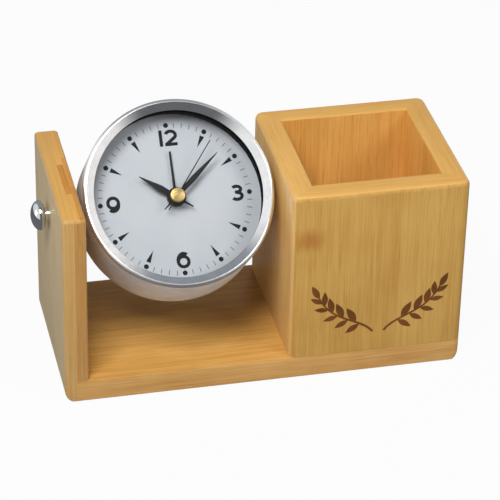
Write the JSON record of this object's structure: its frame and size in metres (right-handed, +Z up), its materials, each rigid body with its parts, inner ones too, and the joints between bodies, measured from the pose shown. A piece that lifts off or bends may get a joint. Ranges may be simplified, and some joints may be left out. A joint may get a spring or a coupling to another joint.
{
  "type": "desk clock",
  "caption": "Bamboo desk set with a round tilting alarm clock pivoted between an upright board and a square pen holder, over an open tray.",
  "frame": {"origin": "middle of the base board's underside, in the table plane", "axes": "+X along the base from the upright to the pen holder, +Y to the back, +Z up; the dial faces -Y and up"},
  "size_m": [0.1776, 0.0778, 0.1106],
  "materials": {
    "bamboo": "clear lacquered bamboo",
    "screw_chrome": "polished",
    "washer_rubber": "matte",
    "case_metal": "turned satin",
    "clear_glass": "clear",
    "ring_black": "matte",
    "dial_card": "satin print",
    "hand_black": "satin lacquer",
    "cap_brass": "turned",
    "plate_plastic": "moulded",
    "wheel_plastic": "moulded",
    "wheel_brass": "cut",
    "magnet_grey": "sintered",
    "stator_steel": "stamped",
    "bobbin_white": "moulded",
    "coil_copper": "enamelled copper wire",
    "board_green": "solder mask",
    "crystal_can": "drawn can",
    "chip_black": "epoxy",
    "buzzer_black": "moulded",
    "cover_black": "fine texture",
    "cell_sleeve": "printed sleeve over steel can",
    "contact_metal": "nickel plated",
    "fastener_steel": "zinc plated"
  },
  "bodies": {
    "stand": {"base_board": "bamboo", "left_upright": "bamboo", "holder_front": "bamboo", "holder_right": "bamboo", "holder_back": "bamboo", "holder_left": "bamboo", "pivot_screws": "screw_chrome", "pivot_washers": "washer_rubber"},
    "clock": {"case_shell": "case_metal", "lens": "clear_glass", "spacer_ring": "ring_black", "dial": "dial_card", "front_plate": "plate_plastic", "mid_plate": "plate_plastic", "bridge_plate": "plate_plastic", "stator": "stator_steel", "coil_bobbin": "bobbin_white", "coil_winding": "coil_copper", "circuit_board": "board_green", "crystal": "crystal_can", "chip": "chip_black", "buzzer": "buzzer_black", "rear_cover": "cover_black", "battery": "cell_sleeve", "contact_positive": "contact_metal", "contact_negative": "contact_metal", "cover_screws": "fastener_steel"},
    "seconds": {"seconds_wheel": "wheel_plastic", "second_hand": "hand_black", "centre_cap": "cap_brass"},
    "minutes": {"centre_wheel": "wheel_brass", "minute_hand": "hand_black"},
    "hours": {"hour_wheel": "wheel_plastic", "hour_hand": "hand_black"},
    "motion": {"minute_work": "wheel_plastic"},
    "third": {"third_wheel": "wheel_plastic"},
    "intermediate": {"inter_wheel": "wheel_plastic"},
    "motor": {"rotor": "wheel_plastic", "rotor_magnet": "magnet_grey"},
    "time_setting": {"time_set_knob": "cover_black"},
    "alarm": {"alarm_wheel": "wheel_plastic", "alarm_hand": "hand_black"},
    "alarm_setting": {"alarm_set_knob": "cover_black"},
    "alarm_switch": {"alarm_slider": "cover_black"},
    "door": {"battery_door": "cover_black"}
  },
  "joints": [
    {"name": "clock_tilt", "type": "hinge", "parent": "stand", "child": "clock", "pos_m": [-0.0325, 0, 0.0694], "axis": [1, 0, 0], "continuous": true},
    {"name": "second_turn", "type": "hinge", "parent": "clock", "child": "seconds", "pos_m": [-0.0325, 0, 0.0694], "axis": [0, 0.7278, -0.6858], "continuous": true},
    {"name": "minute_turn", "type": "hinge", "parent": "clock", "child": "minutes", "pos_m": [-0.0325, 0, 0.0694], "axis": [0, 0.7278, -0.6858], "continuous": true},
    {"name": "hour_turn", "type": "hinge", "parent": "clock", "child": "hours", "pos_m": [-0.0325, 0, 0.0694], "axis": [0, 0.7278, -0.6858], "continuous": true},
    {"name": "motion_turn", "type": "hinge", "parent": "clock", "child": "motion", "pos_m": [-0.02573, 0.00169, 0.07119], "axis": [0, 0.7278, -0.6858], "continuous": true},
    {"name": "third_turn", "type": "hinge", "parent": "clock", "child": "third", "pos_m": [-0.028, 0.00535, 0.07507], "axis": [0, 0.7278, -0.6858], "continuous": true},
    {"name": "intermediate_turn", "type": "hinge", "parent": "clock", "child": "intermediate", "pos_m": [-0.04136, -0.00107, 0.06826], "axis": [0, 0.7278, -0.6858], "continuous": true},
    {"name": "rotor_turn", "type": "hinge", "parent": "clock", "child": "motor", "pos_m": [-0.0476, 0.0014, 0.07088], "axis": [0, 0.7278, -0.6858], "continuous": true},
    {"name": "time_set_turn", "type": "hinge", "parent": "clock", "child": "time_setting", "pos_m": [-0.01817, 0.00169, 0.07119], "axis": [0, 0.7278, -0.6858], "continuous": true},
    {"name": "alarm_set_turn", "type": "hinge", "parent": "clock", "child": "alarm_setting", "pos_m": [-0.04054, 0.00463, 0.07431], "axis": [0, 0.7278, -0.6858], "continuous": true},
    {"name": "alarm_turn", "type": "hinge", "parent": "clock", "child": "alarm", "pos_m": [-0.0325, 0, 0.0694], "axis": [0, 0.7278, -0.6858], "continuous": true},
    {"name": "alarm_slide", "type": "slide", "parent": "clock", "child": "alarm_switch", "axis": [1, 0, 0], "range_m": [0, 0.004]},
    {"name": "door_open", "type": "hinge", "parent": "clock", "child": "door", "pos_m": [-0.0325, -0.00761, 0.04419], "axis": [-1, 0, 0], "range_deg": [0, 100]}
  ],
  "couplings": [
    {"joint": "third_turn", "follows": "second_turn", "ratio": -0.13333},
    {"joint": "minute_turn", "follows": "second_turn", "ratio": 0.016667},
    {"joint": "motion_turn", "follows": "second_turn", "ratio": -0.0055556},
    {"joint": "hour_turn", "follows": "second_turn", "ratio": 0.0013889},
    {"joint": "time_set_turn", "follows": "second_turn", "ratio": 0.013889},
    {"joint": "intermediate_turn", "follows": "second_turn", "ratio": -6},
    {"joint": "rotor_turn", "follows": "second_turn", "ratio": 30},
    {"joint": "alarm_turn", "follows": "alarm_set_turn", "ratio": -0.33333}
  ]
}
